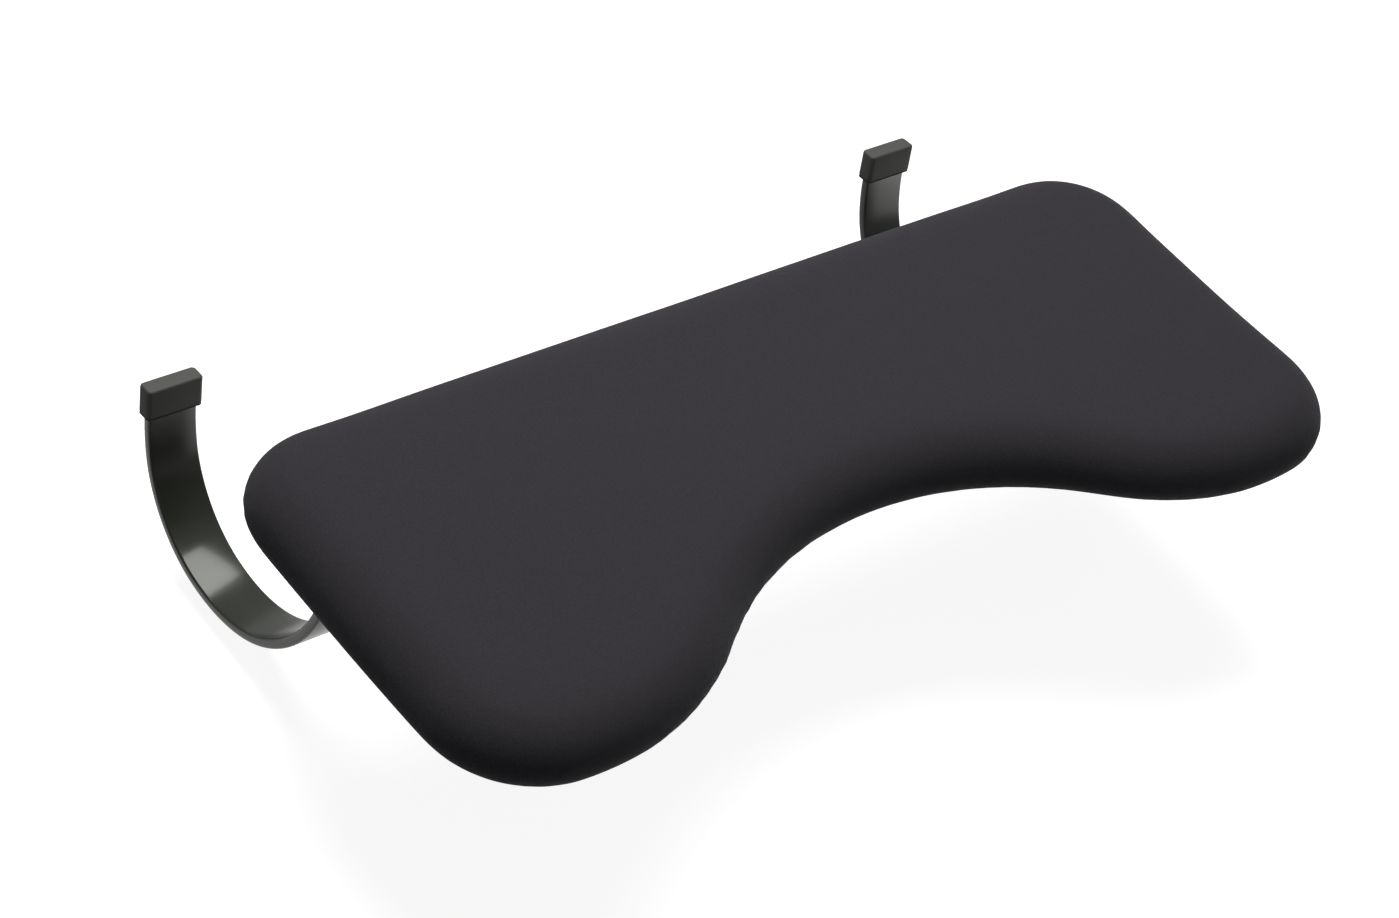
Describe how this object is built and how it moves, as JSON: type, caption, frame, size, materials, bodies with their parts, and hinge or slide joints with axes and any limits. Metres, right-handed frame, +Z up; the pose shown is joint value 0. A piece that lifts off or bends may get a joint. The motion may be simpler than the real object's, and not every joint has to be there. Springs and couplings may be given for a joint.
{
  "type": "desk edge forearm support",
  "caption": "Upholstered kidney-shaped forearm rest that overlaps a desk's front edge and is held by two sprung flat-bar hooks whose capped ends press up under the desk top.",
  "frame": {"origin": "on the pad's flat underside, on the centre line, above the desk's front edge", "axes": "+X to the sitter's right along the desk edge, +Y from the sitter towards the desk, +Z up"},
  "size_m": [0.612, 0.3704, 0.1618],
  "materials": {
    "cover_cloth": "matt black smooth coated knit",
    "foam": "open cell foam",
    "plywood": "raw birch plywood",
    "liner_cloth": "black spunbond",
    "painted_bar": "gloss black",
    "cap_plastic": "fine moulded grain",
    "zinc_steel": "zinc plated"
  },
  "bodies": {
    "support_pad": {"cover": "cover_cloth", "foam_pad": "foam", "base_board": "plywood", "bottom_liner": "liner_cloth", "left_rear_screw": "zinc_steel", "left_rear_washer": "zinc_steel", "left_rear_tnut": "zinc_steel", "left_front_screw": "zinc_steel", "left_front_washer": "zinc_steel", "left_front_tnut": "zinc_steel", "left_strap_foot": "painted_bar", "right_rear_screw": "zinc_steel", "right_rear_washer": "zinc_steel", "right_rear_tnut": "zinc_steel", "right_front_screw": "zinc_steel", "right_front_washer": "zinc_steel", "right_front_tnut": "zinc_steel", "right_strap_foot": "painted_bar"},
    "left_hook": {"left_hook_arm": "painted_bar", "left_end_cap": "cap_plastic"},
    "right_hook": {"right_hook_arm": "painted_bar", "right_end_cap": "cap_plastic"}
  },
  "joints": [
    {"name": "left_hook_flex", "type": "hinge", "parent": "support_pad", "child": "left_hook", "pos_m": [-0.2585, -0.00469, -0.01855], "axis": [-1, 0, 0], "range_deg": [0, 5], "stiffness_Nm_per_rad": 900},
    {"name": "right_hook_flex", "type": "hinge", "parent": "support_pad", "child": "right_hook", "pos_m": [0.2585, -0.00469, -0.01855], "axis": [-1, 0, 0], "range_deg": [0, 5], "stiffness_Nm_per_rad": 900}
  ]
}
